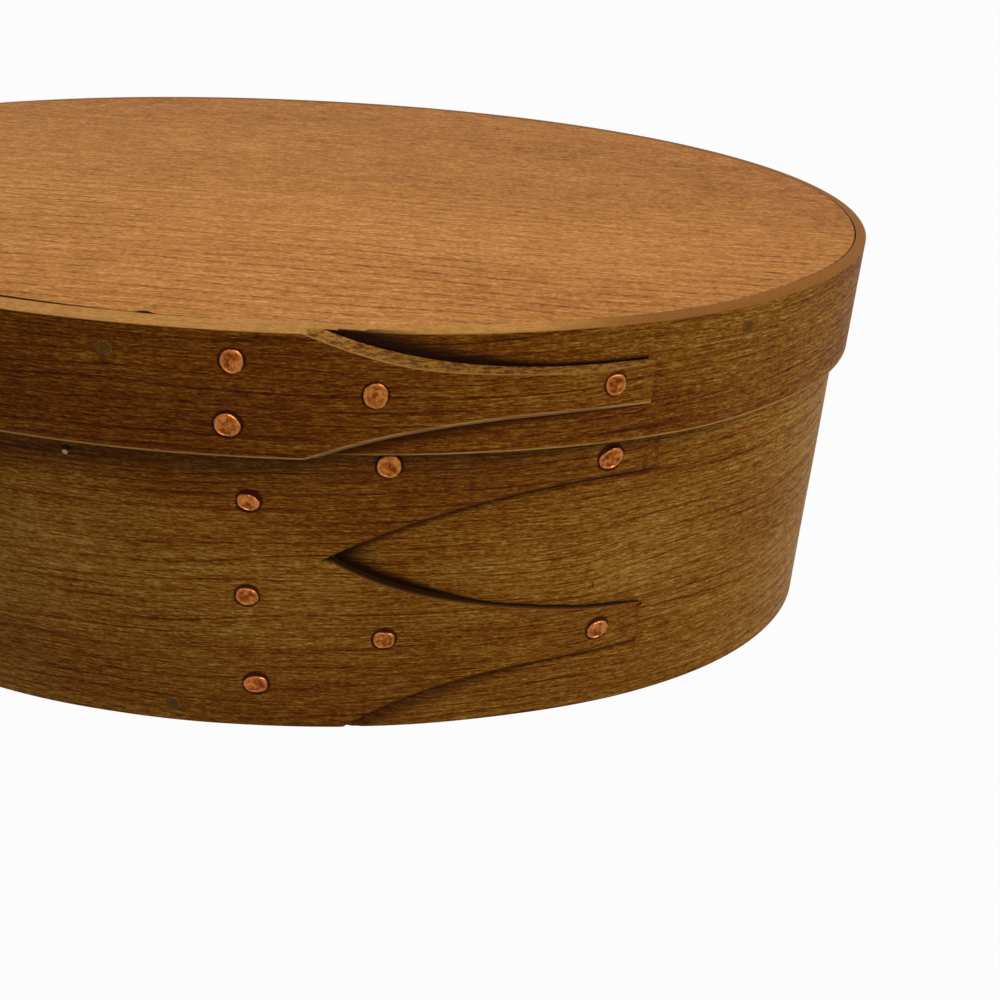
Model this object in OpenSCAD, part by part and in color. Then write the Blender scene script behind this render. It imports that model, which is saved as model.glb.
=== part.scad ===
// Shaker oval box: two thin bands, each bent round an oval and lapped over itself,
// with swallowtail fingers held by copper tacks, and an oval board pegged into each.
// The origin is the middle of the underside, +X runs along the box, the fingers face -Y.

/* [Oval] */
// Length of the box over its wall, where the wall is one layer thick
box_l = 180; // [170:1:200]
// Width of the box over its wall, where the wall is one layer thick
box_w = 114; // [104:1:124]
// Fullness of the oval: 2 is an ellipse, more is squarer
oval_power = 2.05; // [2:0.01:2.2]

/* [Bands] */
// Height of the box's band
band_h = 59.5; // [58:0.5:64]
// Height of the lid's band
lid_band_h = 18.2; // [16:0.1:20]
// Thickness of both bands
band_t = 1.6; // [1.4:0.1:1.8]
// Space between the box's wall and the lid's band
lid_gap = 0.25; // [0.2:0.05:0.5]

/* [Boards] */
// Thickness of the bottom board and of the lid's board
board_t = 6.3; // [5.5:0.1:7]

/* [Lap] */
// Distance of the box band's inner end from the middle of the front
lap_x = 57; // [50:1:62]
// Distance of the lid band's inner end from the middle of the front
lid_lap_x = 70; // [66:1:74]
// Length over which the inner end thins to an edge
feather = 30; // [20:1:40]
// Thickness of the inner end's edge
feather_t = 0.25; // [0.2:0.05:0.5]
// How far the lap draws the box's wall inwards
lap_in = 0.8; // [0:0.1:1]
// Gap between the two layers of a lap
glue_line = 0.08; // [0.06:0.01:0.12]

/* [Fingers] */
// Distance of the box's finger tips from the middle of the front
tip_x = 57.5; // [54:0.5:60]
// Distance of the lid's finger tip from the middle of the front
lid_tip_x = 53.5; // [50:0.5:57]
// Length over which a tip thins
tip_taper = 10; // [6:1:14]
// Thickness of a tip's end
tip_t = 0.5; // [0.4:0.1:0.8]
// Width of the bevel along the fingers' edges
bevel = 1.1; // [0.6:0.1:1.4]
// Where the gap between the box's fingers starts
gap_x = 11.7; // [9:0.1:16]
// Where the outer edges of the box's fingers leave the band's edges
finger_x = 14.2; // [11:0.2:18]
// Where the edges of the lid's finger leave the band's edges
lid_finger_x = 10.8; // [9:0.2:16]
// Width of the lower finger at its tip
low_tip_w = 7.5; // [6:0.1:9]
// Width of the upper finger at its tip
high_tip_w = 7.2; // [7:0.1:10]
// Width of the lid's finger at its tip
lid_tip_w = 6.8; // [6:0.1:8]

/* [Tacks] */
// Diameter of a tack's head
head_d = 3.7; // [3.2:0.1:4.2]
// Height of a head above the wood
head_rise = 0.35; // [0.2:0.05:0.5]
// Height of the head that the lid covers, which is driven nearly flush
covered_rise = 0.1; // [0.05:0.05:0.15]
// Depth that a head is driven into the wood
head_sink = 0.35; // [0.2:0.05:0.5]
// Diameter of a tack's shank
shank_d = 1.4; // [1.2:0.1:1.6]
// Diameter of the clinched point on the inside
clinch_d = 2.4; // [2:0.1:3]
// Depth that the clinched point lies in the wood
clinch_h = 0.4; // [0.3:0.05:0.5]
// Space between the box's four root tacks, up the band
root_pitch = 15.5; // [15:0.1:16]

/* [Pegs] */
// Diameter of a peg
peg_d = 2.2; // [1.8:0.1:2.6]
// Depth that a peg goes into its board
peg_depth = 8; // [6:0.5:12]

/* [Hidden] */
half_l = box_l / 2;
half_w = box_w / 2;
top_z = band_h + board_t;
lid_low_z = top_z - lid_band_h;

// Height of the point of the gap between the box's fingers
gap_z = 29.7;
// Heights of the middle lines of the fingers' tips
low_finger_z = 13.65;
high_finger_z = 44.1;
lid_finger_z = 56.5;

// Where the wall is back on the oval, past the finger tips
ease_x = 0.9 * half_l;
// How far the box's lap stands out, which the lid's band follows
bulge = band_t + glue_line - lap_in;
// The bevel's width for each unit of depth
slope = bevel / band_t;

lap_steps = 38;
rest_steps = 96;
finger_steps = 22;
// Running clearance all round the shanks, heads and pegs in their holes
fit = 0.02;
past = 1;
root_half = 0.03;
$fn = 48;

// Each band as [inner face where it is one layer thick, its swing at the lap,
// distance of the finger tips, distance of the inner end]
box_wall = [-band_t, -lap_in, tip_x, lap_x];
lid_wall = [lid_gap, bulge, lid_tip_x, lid_lap_x];

// Tacks as [distance along the front, height, rise of the head above the wood]
box_tacks = [
    [0.4, 8, head_rise], [-0.4, 8 + root_pitch, head_rise],
    [0.4, 8 + 2 * root_pitch, head_rise], [0, 8 + 3 * root_pitch, covered_rise],
    [18.9, 16.4, head_rise], [19.3, 45.1, head_rise],
    [50.4, 14.6, head_rise], [49.8, high_finger_z, head_rise]
];
lid_tacks = [
    [-1.2, 52.4, head_rise], [-0.3, 61.5, head_rise],
    [17.3, 57.3, head_rise], [47.9, 57.2, head_rise]
];

// Angles of the pegs round each oval, as they were set by eye
bottom_pegs = [-97.4, -40.7, 22, 82, 142, 202];
lid_pegs = [-100, -42.5, 19, 80, 138, 200];
bottom_peg_z = board_t / 2;
lid_peg_z = top_z - 3.8;

// The oval ------------------------------------------------------------------

function signed_pow(v, p) = sign(v) * pow(abs(v), p);
function mix(a, b, u) = a + (b - a) * u;
function ramp(v, from, to) =
    let(u = max(0, min(1, (v - from) / (to - from)))) u * u * (3 - 2 * u);

function oval_x(a) = half_l * signed_pow(cos(a), 2 / oval_power);
function oval_y(a) = half_w * signed_pow(sin(a), 2 / oval_power);

// Angle of the point on the front at a distance x along the box
function front_angle(x) = -90 + asin(signed_pow(x / half_l, oval_power / 2));

function oval_normal(a) =
    let(p = 2 - 2 / oval_power, n = [signed_pow(cos(a), p) / half_l, signed_pow(sin(a), p) / half_w])
    n / norm(n);

// Point at a distance r outside the oval
function oval_point(a, r) = [oval_x(a), oval_y(a)] + r * oval_normal(a);

// 1 where the bands are lapped, falling to 0 on either side
function lapped(wall, a) =
    sin(a) > 0 ? 0 : let(x = oval_x(a)) layered(wall, x) * ramp(x, ease_x, tip_x);

// 0 at a band's inner end, rising to 1 where that end has its full thickness
function layered(wall, x) = ramp(x, -wall[3], feather - wall[3]);

// The bands -----------------------------------------------------------------

function inner_face(wall, a) = wall[0] + wall[1] * lapped(wall, a);
function inner_end_t(wall, x) = mix(feather_t, band_t, layered(wall, x));
function tip_thickness(wall, x) = mix(tip_t, band_t, ramp(x, wall[2], wall[2] - tip_taper));

// The faces of the lap's outer layer at a distance x along the front
function lap_inner(wall, x) =
    inner_face(wall, front_angle(x)) + inner_end_t(wall, x) + glue_line;
function lap_outer(wall, x) = lap_inner(wall, x) + tip_thickness(wall, x);

function lap_xs(wall) = [for (i = [0:lap_steps]) mix(-wall[3], wall[2], i / lap_steps)];

// Angles of the rest of the oval, from the finger tips round the back to the inner end
function rest_angles(wall) =
    let(from = front_angle(wall[2]), to = front_angle(-wall[3]) + 360)
    [for (i = [1:rest_steps - 1]) mix(from, to, i / rest_steps)];

// Outline of the inside of a band, which its board fills
function inside(wall) = concat(
    [for (x = lap_xs(wall)) let(a = front_angle(x)) oval_point(a, inner_face(wall, a))],
    [for (a = rest_angles(wall)) oval_point(a, inner_face(wall, a))]);

// Outline of a band from above: out along the inside from the feathered inner end, once
// round the oval and on over the lap to the tips, and back along the outside.
function band_outline(wall) =
    let(xs = lap_xs(wall), rest = rest_angles(wall))
    let(outside = concat(
        [for (x = xs) let(a = front_angle(x)) oval_point(a, inner_face(wall, a) + inner_end_t(wall, x))],
        [for (a = rest) oval_point(a, inner_face(wall, a) + band_t)],
        [for (x = xs) oval_point(front_angle(x), lap_outer(wall, x))]))
    concat(
        inside(wall),
        [for (x = xs) oval_point(front_angle(x), lap_inner(wall, x))],
        [for (i = [len(outside) - 1:-1:0]) outside[i]]);

// A finger's edge, sweeping from [x0, z0] into a level line at [x1, z1]
function sweep(x, x0, z0, x1, z1, power) =
    let(u = min(1, (x - x0) / (x1 - x0)))
    z0 + (z1 - z0) * (u < 0 ? power * u : 1 - pow(1 - u, power));

// Closed solid through rings of four points
module loft(rings) {
    n = len(rings);
    points = [for (ring = rings) each ring];
    sides = [for (i = [0:n - 2], k = [0:3])
        [4 * i + k, 4 * i + (k + 1) % 4, 4 * i + 4 + (k + 1) % 4, 4 * i + 4 + k]];
    halves = [for (s = sides) each [[s[0], s[1], s[2]], [s[0], s[2], s[3]]]];
    ends = [[2, 1, 0], [3, 2, 0], [4 * n - 4, 4 * n - 3, 4 * n - 2], [4 * n - 4, 4 * n - 2, 4 * n - 1]];
    polyhedron(points = points, faces = concat(halves, ends), convexity = 4);
}

// What is cut out of the lap's outer layer, down to the layer below and no deeper.
// Each row is [x, depth of the bottom of the cut, lower edge, upper edge].
module lap_cut(wall, rows) {
    loft([for (row = rows)
        let(a = front_angle(row[0]), deep = row[1], out = lap_outer(wall, 0) + past, w = slope * (out - deep))
        let(p = oval_point(a, deep), q = oval_point(a, out))
        [[p[0], p[1], row[2]], [q[0], q[1], row[2] - w], [q[0], q[1], row[3] + w], [p[0], p[1], row[3]]]]);
}

function floor_of_cut(wall, x) = lap_inner(wall, x) - glue_line / 2;
function cut_xs(from, to) = [for (i = [0:finger_steps]) mix(from, to, i / finger_steps)];

// Cut along the band's lower edge (side = -1) or upper edge (side = 1), beside a finger
module edge_cut(wall, side, x0, edge_z, tip_z) {
    xs = cut_xs(x0 - 4, wall[2] + past);
    far = edge_z + side * 4;
    lap_cut(wall, [for (x = xs)
        let(z = sweep(x, x0, edge_z, wall[2], tip_z, 3))
        [x, floor_of_cut(wall, x), side < 0 ? far : z, side < 0 ? z : far]]);
}

// The pointed gap between two fingers, whose bevels meet a little before its point
module swallow_cut(wall, x0, z0, low_z, high_z) {
    power = 2.35;
    lead = 2 * bevel / (power * (high_z - low_z)) * (wall[2] - x0);
    lap_cut(wall, concat(
        [[x0 - lead, lap_outer(wall, x0), z0 - root_half, z0 + root_half]],
        [for (x = cut_xs(x0, wall[2] + past))
            [x, floor_of_cut(wall, x),
                sweep(x, x0, z0, wall[2], low_z, power) - root_half,
                sweep(x, x0, z0, wall[2], high_z, power) + root_half]]));
}

// Puts its children at a distance r outside the oval, with their +Z pointing outwards
module on_wall(a, r, z) {
    p = oval_point(a, r);
    n = oval_normal(a);
    translate([p[0], p[1], z]) rotate([0, 0, atan2(n[1], n[0])]) rotate([0, 90, 0]) children();
}

// The tacks -----------------------------------------------------------------

// Thickness of wood between a tack's seat and its clinched point
function grip(wall, x) =
    lap_outer(wall, x) - head_sink - inner_face(wall, front_angle(x)) - clinch_h;

// A tack: a low hammered head, the shank, and the point clinched flat on the inside
module tack(wall, at) {
    g = grip(wall, at[0]);
    color("#c8794a") on_wall(front_angle(at[0]), lap_outer(wall, at[0]) - head_sink, at[1]) {
        rotate_extrude() polygon([
            [0, 0], [head_d / 2, 0], [head_d / 2, head_sink + 0.3 * at[2]],
            [0.44 * head_d, head_sink + 0.75 * at[2]],
            [0.25 * head_d, head_sink + at[2]], [0, head_sink + at[2]]]);
        translate([0, 0, -g - clinch_h / 2]) cylinder(d = shank_d, h = g + clinch_h);
        translate([0, 0, -g - clinch_h]) cylinder(d = clinch_d, h = clinch_h);
    }
}

// The hole for a tack, with a seat for its head and one for its point
module tack_hole(wall, at) {
    g = grip(wall, at[0]);
    on_wall(front_angle(at[0]), lap_outer(wall, at[0]) - head_sink, at[1]) {
        cylinder(d = head_d + 2 * fit, h = head_sink + past);
        translate([0, 0, -g - past]) cylinder(d = shank_d + 2 * fit, h = g + 2 * past);
        translate([0, 0, -g - clinch_h - past]) cylinder(d = clinch_d + 2 * fit, h = clinch_h + past);
    }
}

// The pegs ------------------------------------------------------------------

// Outermost face of a band at an angle, where it isn't cut away
function skin(wall, a) =
    let(x = oval_x(a), b = inner_face(wall, a))
    sin(a) < 0 && x > -wall[3] && x < wall[2] ? lap_outer(wall, x) : b + band_t;

// A round peg from the band's outer face into the board's edge
module peg(wall, a, z, grow = 0) {
    depth = skin(wall, a) - inner_face(wall, a) + peg_depth;
    on_wall(a, skin(wall, a), z)
        translate([0, 0, -depth]) cylinder(d = peg_d + 2 * grow, h = depth + (grow > 0 ? past : 0.05));
}

module peg_holes(wall, angles, z) {
    for (a = angles) peg(wall, a, z, fit);
}

// The pieces ----------------------------------------------------------------

module box_band() {
    color("#8a5a2b") difference() {
        linear_extrude(band_h) polygon(band_outline(box_wall));
        edge_cut(box_wall, -1, finger_x, 0, low_finger_z - low_tip_w / 2);
        edge_cut(box_wall, 1, finger_x, band_h, high_finger_z + high_tip_w / 2);
        swallow_cut(box_wall, gap_x, gap_z,
            low_finger_z + low_tip_w / 2, high_finger_z - high_tip_w / 2);
        for (at = box_tacks) tack_hole(box_wall, at);
        peg_holes(box_wall, bottom_pegs, bottom_peg_z);
    }
}

module lid_band() {
    color("#8f5c2c") difference() {
        translate([0, 0, lid_low_z]) linear_extrude(lid_band_h) polygon(band_outline(lid_wall));
        edge_cut(lid_wall, -1, lid_finger_x, lid_low_z, lid_finger_z - lid_tip_w / 2);
        edge_cut(lid_wall, 1, lid_finger_x, top_z, lid_finger_z + lid_tip_w / 2);
        for (at = lid_tacks) tack_hole(lid_wall, at);
        peg_holes(lid_wall, lid_pegs, lid_peg_z);
    }
}

// An oval board that fills the inside of a band, drilled for its pegs
module board(wall, pegs, low, peg_z) {
    difference() {
        translate([0, 0, low]) linear_extrude(board_t) polygon(inside(wall));
        peg_holes(wall, pegs, peg_z);
    }
}

module bottom_board() {
    color("#a8713d") board(box_wall, bottom_pegs, 0, bottom_peg_z);
}

module lid_board() {
    color("#b4743e") board(lid_wall, lid_pegs, band_h, lid_peg_z);
}

module bottom_peg(i) {
    color("#7d6a3c") peg(box_wall, bottom_pegs[i - 1], bottom_peg_z);
}

module lid_peg(i) {
    color("#7d6a3c") peg(lid_wall, lid_pegs[i - 1], lid_peg_z);
}

box_band();
bottom_board();
lid_band();
lid_board();
tack(box_wall, box_tacks[0]);  // root_tack_1
tack(box_wall, box_tacks[1]);  // root_tack_2
tack(box_wall, box_tacks[2]);  // root_tack_3
tack(box_wall, box_tacks[3]);  // root_tack_4
tack(box_wall, box_tacks[4]);  // waist_tack_lower
tack(box_wall, box_tacks[5]);  // waist_tack_upper
tack(box_wall, box_tacks[6]);  // tip_tack_lower
tack(box_wall, box_tacks[7]);  // tip_tack_upper
tack(lid_wall, lid_tacks[0]);  // lid_root_tack_lower
tack(lid_wall, lid_tacks[1]);  // lid_root_tack_upper
tack(lid_wall, lid_tacks[2]);  // lid_waist_tack
tack(lid_wall, lid_tacks[3]);  // lid_tip_tack
bottom_peg(1);  // bottom_peg_1
bottom_peg(2);  // bottom_peg_2
bottom_peg(3);  // bottom_peg_3
bottom_peg(4);  // bottom_peg_4
bottom_peg(5);  // bottom_peg_5
bottom_peg(6);  // bottom_peg_6
lid_peg(1);  // lid_peg_1
lid_peg(2);  // lid_peg_2
lid_peg(3);  // lid_peg_3
lid_peg(4);  // lid_peg_4
lid_peg(5);  // lid_peg_5
lid_peg(6);  // lid_peg_6
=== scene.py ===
import math

import bpy
import bmesh
import numpy as np
from mathutils import Matrix, Vector


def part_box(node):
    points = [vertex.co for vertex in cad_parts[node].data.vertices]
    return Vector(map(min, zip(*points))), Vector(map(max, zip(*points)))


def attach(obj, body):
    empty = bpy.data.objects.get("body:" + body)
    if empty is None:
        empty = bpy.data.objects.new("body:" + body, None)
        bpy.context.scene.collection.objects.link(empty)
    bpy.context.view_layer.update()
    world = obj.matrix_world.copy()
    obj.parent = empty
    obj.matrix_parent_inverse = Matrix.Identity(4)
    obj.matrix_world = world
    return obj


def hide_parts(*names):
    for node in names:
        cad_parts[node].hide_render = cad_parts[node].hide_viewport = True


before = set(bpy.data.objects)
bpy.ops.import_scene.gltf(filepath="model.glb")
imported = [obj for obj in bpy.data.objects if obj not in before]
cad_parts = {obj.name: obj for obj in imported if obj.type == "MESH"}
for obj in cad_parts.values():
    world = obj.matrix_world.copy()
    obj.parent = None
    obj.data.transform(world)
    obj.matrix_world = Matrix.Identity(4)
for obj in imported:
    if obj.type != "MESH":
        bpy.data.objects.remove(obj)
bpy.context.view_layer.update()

# A Shaker oval box. Its bands are bent round an oval and lapped over themselves at the front, with
# fingers held by copper tacks. Its oval boards are held by wooden pegs, and the lid lifts off.

# Sizes --------------------------------------------------------------------
# Millimetres, in the part's frame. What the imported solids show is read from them.

MM = 0.001


def corners(node):
    low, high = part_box(node)
    return np.array(low) / MM, np.array(high) / MM


def middle(node):
    low, high = corners(node)
    return (low + high) / 2


box_high = corners("box_band")[1]
lid_low, lid_high = corners("lid_band")
bottom_high = corners("bottom_board")[1]
lid_board_low, lid_board_high = corners("lid_board")

HALF_L, HALF_W, BAND_H = box_high
LID_LOW, TOP = lid_low[2], lid_high[2]
BAND_T = HALF_L - bottom_high[0]
LID_GAP = lid_board_high[0] - HALF_L
OVAL_POWER = 2.05

# Each lap: how far left of the middle it starts, and how far right its tips reach
LAP_X, LID_LAP_X = 57.0, 70.0
TIP_X, LID_TIP_X = 57.5, 53.5
# A strip's inner end is feathered, and its tips are thinned
FEATHER, FEATHER_T = 30.0, 0.25
TIP_TAPER, TIP_T = 10.0, 0.5
# The box's wall is drawn in under the lap, and has come out again at EASE_X
LAP_IN, EASE_X, GLUE_LINE = 0.8, 0.9 * HALF_L, 0.08
BULGE = BAND_T + GLUE_LINE - LAP_IN

# The fingers: where the curves start, the heights between which each tip ends, and the bevels
FINGER_X, LID_FINGER_X, FINGER_POWER = 14.2, 10.8, 3
LOW_FINGER, HIGH_FINGER, LID_FINGER = (9.9, 17.4), (40.5, 47.7), (53.1, 59.9)
BEVEL, LID_TOP_BEVEL, THIN_BEVEL = 1.1, 0.5, 0.2
# The gap between the box's fingers. A share of its lower edge's fall is straight, the rest a curve
GAP_X, GAP_Z, GAP_POWER = 11.7, 29.7, 2.35
GAP_STRAIGHT, GAP_FALL_POWER = 0.63, 5

HEAD_SINK, HEAD_RISE, COVERED_RISE = 0.35, 0.35, 0.1
SHANK_R, CLINCH_R = 0.7, 1.2
PEG_R, PEG_DEPTH = 1.1, 8.0

# Finish: scraped wood's unevenness, and the dips round a driven head and in an open joint
BAND_ROUGH, BOARD_ROUGH, BOARD_EASE = 0.045, 0.03, 0.12
TACK_DIP, TACK_DIP_R, CREASE_DIP = 0.14, 0.8, 0.3


def mix(a, b, u):
    return a + (b - a) * u


def ramp(v, start, end):
    u = np.clip((v - start) / (end - start), 0, 1)
    return u * u * (3 - 2 * u)


def signed_pow(v, p):
    return np.sign(v) * np.abs(v) ** p


def front_angle(x):
    return -math.pi / 2 + np.arcsin(signed_pow(x / HALF_L, OVAL_POWER / 2))


def oval(a):
    """Points and outward normals of the oval at angles a, as (n, 2) arrays."""
    a = np.asarray(a, float)
    c, s = np.cos(a), np.sin(a)
    p = 2 / OVAL_POWER
    point = np.stack([HALF_L * signed_pow(c, p), HALF_W * signed_pow(s, p)], -1)
    normal = np.stack([signed_pow(c, 2 - p) / HALF_L, signed_pow(s, 2 - p) / HALF_W], -1)
    return point, normal / np.linalg.norm(normal, axis=-1, keepdims=True)


class Wall:
    """One band's path round the oval: how far out its inner face and its two layers lie. tip_mark is
    how dark the end grain of its tips is."""

    def __init__(self, base, swing, tip, lap, tip_mark):
        self.base, self.swing, self.tip, self.lap, self.tip_mark = base, swing, tip, lap, tip_mark

    def layered(self, x):
        """0 at the strip's feathered end, 1 where it is full."""
        return ramp(x, -self.lap, FEATHER - self.lap)

    def inner(self, a):
        point = oval(a)[0]
        x, y = point[..., 0], point[..., 1]
        return self.base + self.swing * np.where(y > 0, 0, self.layered(x) * ramp(x, EASE_X, TIP_X))

    def end_t(self, x):
        return mix(FEATHER_T, BAND_T, self.layered(x))

    def lap_inner(self, x):
        return self.inner(front_angle(x)) + self.end_t(x) + GLUE_LINE

    def lap_outer(self, x):
        return self.lap_inner(x) + mix(TIP_T, BAND_T, ramp(x, self.tip, self.tip - TIP_TAPER))

    def skin(self, a):
        """The outermost face where nothing is cut away."""
        point = oval(a)[0]
        x, y = point[..., 0], point[..., 1]
        lapped = (y < 0) & (x > -self.lap) & (x < self.tip)
        return np.where(lapped, self.lap_outer(np.clip(x, -self.lap, self.tip)), self.inner(a) + BAND_T)


BOX = Wall(-BAND_T, -LAP_IN, TIP_X, LAP_X, 0.35)
LID = Wall(LID_GAP, BULGE, LID_TIP_X, LID_LAP_X, 0.7)


def sweep(x, x0, z0, x1, z1, power):
    """A curve from (x0, z0), where it is steepest, to (x1, z1), where it is level."""
    u = np.minimum(1, (x - x0) / (x1 - x0))
    eased = np.where(u < 0, power * u, 1 - np.maximum(0, 1 - u) ** power)
    return z0 + (z1 - z0) * eased


def angle_at(x, y):
    """Angle of the oval's point nearest to (x, y)."""
    a = np.linspace(-math.pi, math.pi, 7201)
    point = oval(a)[0]
    return a[np.argmin((point[:, 0] - x) ** 2 + (point[:, 1] - y) ** 2)]


# Meshes -------------------------------------------------------------------


def make_object(name, verts, faces, material, marks=None, sharp=50):
    """A mesh object from millimetres. marks are point attributes: name to (n,) or (n, 3). Edges of
    more than sharp degrees aren't smoothed."""
    mesh = bpy.data.meshes.new(name)
    mesh.from_pydata((np.asarray(verts) * MM).tolist(), [], faces)
    for key, values in (marks or {}).items():
        values = np.asarray(values, np.float32)
        vector = values.ndim == 2
        layer = mesh.attributes.new(key, "FLOAT_VECTOR" if vector else "FLOAT", "POINT")
        layer.data.foreach_set("vector" if vector else "value", values.ravel())
    bm = bmesh.new()
    bm.from_mesh(mesh)
    bmesh.ops.remove_doubles(bm, verts=bm.verts, dist=1e-7)
    bmesh.ops.dissolve_degenerate(bm, dist=1e-8, edges=bm.edges)
    bmesh.ops.recalc_face_normals(bm, faces=bm.faces)
    bm.to_mesh(mesh)
    bm.free()
    mesh.polygons.foreach_set("use_smooth", [True] * len(mesh.polygons))
    mesh.set_sharp_from_angle(angle=math.radians(sharp))
    mesh.materials.append(material)
    obj = bpy.data.objects.new(name, mesh)
    bpy.context.scene.collection.objects.link(obj)
    return obj


def settle(obj, node, body):
    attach(obj, body)
    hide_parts(node)


def wave(s, z, seed):
    """Gentle unevenness of a scraped surface, about -1 to 1."""
    return (0.4 * np.sin(0.113 * s + 0.05 * z + seed) + 0.35 * np.sin(0.047 * s - 0.21 * z + 2.1 * seed)
            + 0.25 * np.sin(0.29 * s + 0.13 * z + 3.7 * seed))


# Depth of the points across a band's edge: 0 is its outer face, 1 its inner face
EDGE_T = np.array([0.0, 0.12, 0.28, 0.46, 0.64, 0.82, 1.0])
# The forms of an eased rim and of a bevel, the worn rim of the lid, and the lift of the lap's foot
RIM_EASE, RIM_POWER, BEVEL_POWER = 0.15, 3.5, 1.12
ROUND_OVER, FOOT_RISE = 0.5, 0.2
# How far the bevels of the gap run on, to the left of its root
LEAD = 2 * BEVEL / (GAP_POWER * (HIGH_FINGER[0] - LOW_FINGER[1])) * (TIP_X - GAP_X)
# The value of a mark that is out of reach, and the paleness of the darkest rim, least worn and in painted
# shade
FAR, DARKEST_RIM = 9.0, 0.1
# To the right of this the fingers' cut edges show
CUT_X = 9
BAND_MARKS = ("grain", "edge", "press", "shade")


def edge_drop(x, rim, rim_drop, side, finger_x, tip_x, tip_z, bevel):
    """An outer edge of the lap: its inner line, and its drop at each depth of EDGE_T."""
    cut = sweep(x, finger_x, rim, tip_x, tip_z, FINGER_POWER)
    inner = max(rim, cut) if side < 0 else min(rim, cut)
    cut_line = (cut - inner) * -side + bevel * (1 - EDGE_T) ** BEVEL_POWER
    return inner, np.maximum(rim_drop, cut_line)


def gap_lines(x):
    """The lower and the upper edge of the gap between the box's fingers."""
    left = 1 - np.clip((x - GAP_X) / (TIP_X - GAP_X), 0, 1)
    drop = GAP_Z - LOW_FINGER[1]
    low = LOW_FINGER[1] + drop * (GAP_STRAIGHT * left + (1 - GAP_STRAIGHT) * left ** GAP_FALL_POWER)
    return float(low), float(sweep(x, GAP_X, GAP_Z, TIP_X, HIGH_FINGER[0], GAP_POWER))


class Loop:
    """One closed ring through the thickness of a band, from its lower to its upper edge.

    z and t are each point's height and depth. For the shader, bevel marks the cut edges, and from_low
    and from_high are the distances from the edges, below 0 on the edge itself. seam is the edge that
    meets the other ring where the box's fingers haven't parted yet.
    """

    def __init__(self, low, low_drop, high, high_drop, rows):
        outer = np.linspace(low + low_drop[0], high - high_drop[0], rows)
        inner = np.linspace(high, low, rows)[1:-1]
        walls = EDGE_T[1:]
        # A cut edge is marked less close to the outer face
        cut = np.clip(0.45 + 1.3 * walls, 0, 1)
        k = len(walls)
        self.z = np.concatenate([outer, high - high_drop[1:], inner, (low + low_drop[1:])[::-1]])
        self.t = np.concatenate([np.zeros(rows), walls, np.ones(rows - 2), walls[::-1]])
        self.bevel = np.concatenate([np.zeros(rows), cut, np.zeros(rows - 2), cut[::-1]])
        far, inside = np.full(k, FAR), np.full(rows - 2, FAR)
        self.from_low = np.concatenate([outer - outer[0], far, inside, -walls[::-1]])
        self.from_high = np.concatenate([outer[-1] - outer, -walls, inside, far])
        self.high_wall = np.arange(rows - 1, rows + k - 1)
        self.low_wall = np.arange(2 * rows + k - 3, 2 * rows + 2 * k - 2)
        self.seam = ()


def gap_open(x):
    """How far the walls of the gap between the fingers stand open, at each depth of EDGE_T."""
    return np.maximum(0, (1 - EDGE_T) ** BEVEL_POWER - max(0.0, GAP_X - x) / LEAD)


def rim_ease(extra=0.0):
    """Drop of a band's rim at each depth of EDGE_T."""
    return (RIM_EASE + extra) * (1 - EDGE_T) ** (RIM_POWER / (1 + extra))


def box_loops(station, rows):
    """The lower and the upper ring of the box's band at one station."""
    x = station.x
    low, low_drop, high, high_drop = 0.0, rim_ease(), BAND_H, rim_ease()
    gap_low = gap_high = GAP_Z
    open_low = open_high = np.zeros(len(EDGE_T))
    if station.layer == 2:
        bevel = BEVEL * (BOX.lap_outer(x) - BOX.lap_inner(x)) / BAND_T
        low_drop = low_drop + FOOT_RISE * ramp(x, -12, FINGER_X)
        low, low_drop = edge_drop(x, 0.0, low_drop, -1, FINGER_X, TIP_X, LOW_FINGER[0], bevel)
        high, high_drop = edge_drop(x, BAND_H, high_drop, 1, FINGER_X, TIP_X, HIGH_FINGER[1], THIN_BEVEL)
        open_low, open_high = THIN_BEVEL * gap_open(x), bevel * gap_open(x)
        if x > GAP_X:
            gap_low, gap_high = gap_lines(x)
    lower = Loop(low, low_drop, gap_low, open_low, rows)
    upper = Loop(gap_high, open_high, high, high_drop, rows)
    lower.seam, upper.seam = lower.high_wall, upper.low_wall
    if station.layer == 1 or x < GAP_X:
        lower.from_high[:] = FAR
        upper.from_low[:] = FAR
    return lower, upper


def lid_loops(station, rows):
    """The ring of the lid's band. Its upper rim is rounded over to the right of the finger."""
    x, deg = station.x, math.degrees(station.a)
    rounded = ROUND_OVER * float(ramp(deg, -86, -76) * ramp(deg, -8, -22)) * (station.layer == 1)
    low, low_drop, high, high_drop = LID_LOW, rim_ease(), TOP, rim_ease(rounded)
    if station.layer == 2:
        bevel = BEVEL * (LID.lap_outer(x) - LID.lap_inner(x)) / BAND_T
        low, low_drop = edge_drop(x, LID_LOW, low_drop, -1, LID_FINGER_X, LID_TIP_X, LID_FINGER[0], bevel)
        bevel = min(bevel, mix(BEVEL, LID_TOP_BEVEL, ramp(x, 20, 36)))
        high, high_drop = edge_drop(x, TOP, high_drop, 1, LID_FINGER_X, LID_TIP_X, LID_FINGER[1], bevel)
    loop = Loop(low, low_drop, high, high_drop, rows)
    loop.bevel = np.ceil(loop.bevel)
    return (loop,)


class Station:
    """A place along a strip: its layer, from 1 inside to 2 outside, and its faces' distances from the
    oval. x is None round the back, and s is the length of strip up to here."""

    def __init__(self, x, a, r_in, r_out, layer):
        self.x, self.a, self.layer = x, a, layer
        self.r_in, self.r_out = float(r_in), float(r_out)
        self.point, self.normal = oval(a)
        self.s = 0.0

    def inner_point(self):
        return self.point + self.normal * self.r_in


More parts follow.
